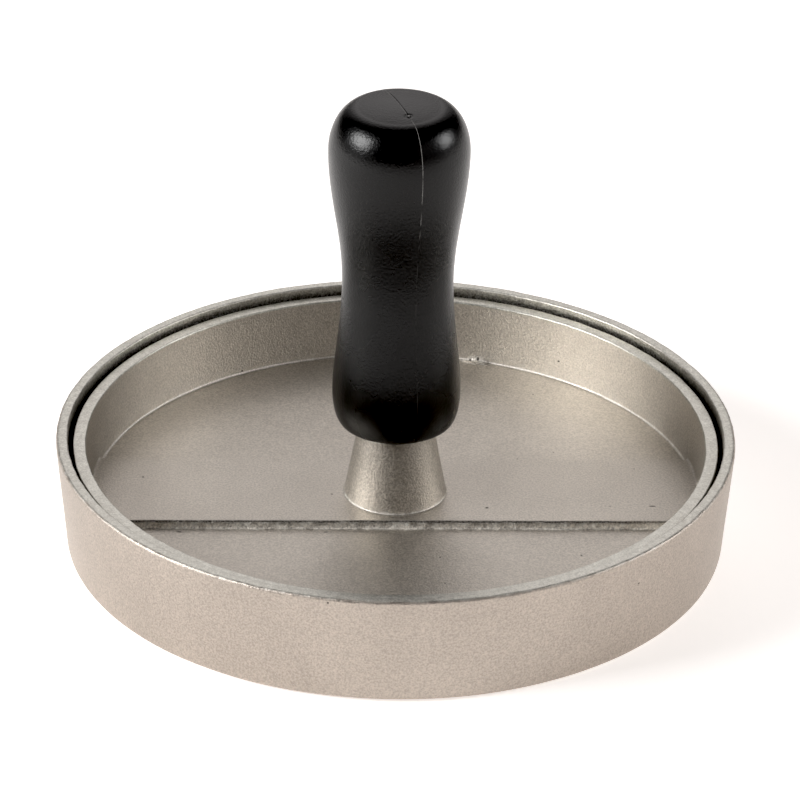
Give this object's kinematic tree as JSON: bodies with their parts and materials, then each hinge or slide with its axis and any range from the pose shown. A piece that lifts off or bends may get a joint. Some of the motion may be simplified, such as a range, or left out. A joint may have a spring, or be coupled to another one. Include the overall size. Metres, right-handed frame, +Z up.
{
  "type": "patty press",
  "caption": "Round cast aluminium hand press for meat patties: open mould, cup-shaped press plate and moulded screw-on handle.",
  "frame": {"origin": "centre of the mould's flat underside, on the surface that the press stands on", "axes": "+Z up along the axis of the mould, plate and handle; +X along the raised band across the press plate; -Y is the front"},
  "size_m": [0.124, 0.124, 0.0864],
  "materials": {
    "mould_casting": "fine sand-cast skin, warm grey, matt with a fine sparkle",
    "plate_casting": "fine sand-cast skin, warm grey, smoother turned rim",
    "plated_steel": "zinc plated, cut thread",
    "spring_steel": "zinc plated spring steel",
    "insert_brass": "machined brass",
    "black_plastic": "satin black phenolic moulding with a fine parting seam"
  },
  "bodies": {
    "mould": {"base_mould": "mould_casting"},
    "stud": {"threaded_stud": "plated_steel"},
    "press": {"press_plate": "plate_casting"},
    "washer": {"spring_washer": "spring_steel"},
    "handle": {"handle_grip": "black_plastic", "handle_insert": "insert_brass"}
  },
  "joints": [
    {"name": "press_lift", "type": "slide", "parent": "mould", "child": "stud", "axis": [0, 0, 1], "range_m": [0, 0.04]},
    {"name": "press_turn", "type": "hinge", "parent": "stud", "child": "press", "pos_m": [0, 0, 0.022], "axis": [0, 0, 1], "continuous": true},
    {"name": "handle_unscrew", "type": "hinge", "parent": "press", "child": "washer", "pos_m": [0, 0, 0.022], "axis": [0, 0, 1], "range_deg": [0, 3960]},
    {"name": "handle_rise", "type": "slide", "parent": "washer", "child": "handle", "axis": [0, 0, 1], "range_m": [0, 0.011]}
  ],
  "couplings": [
    {"joint": "handle_rise", "follows": "handle_unscrew", "m_per_rad": 0.00015915}
  ]
}
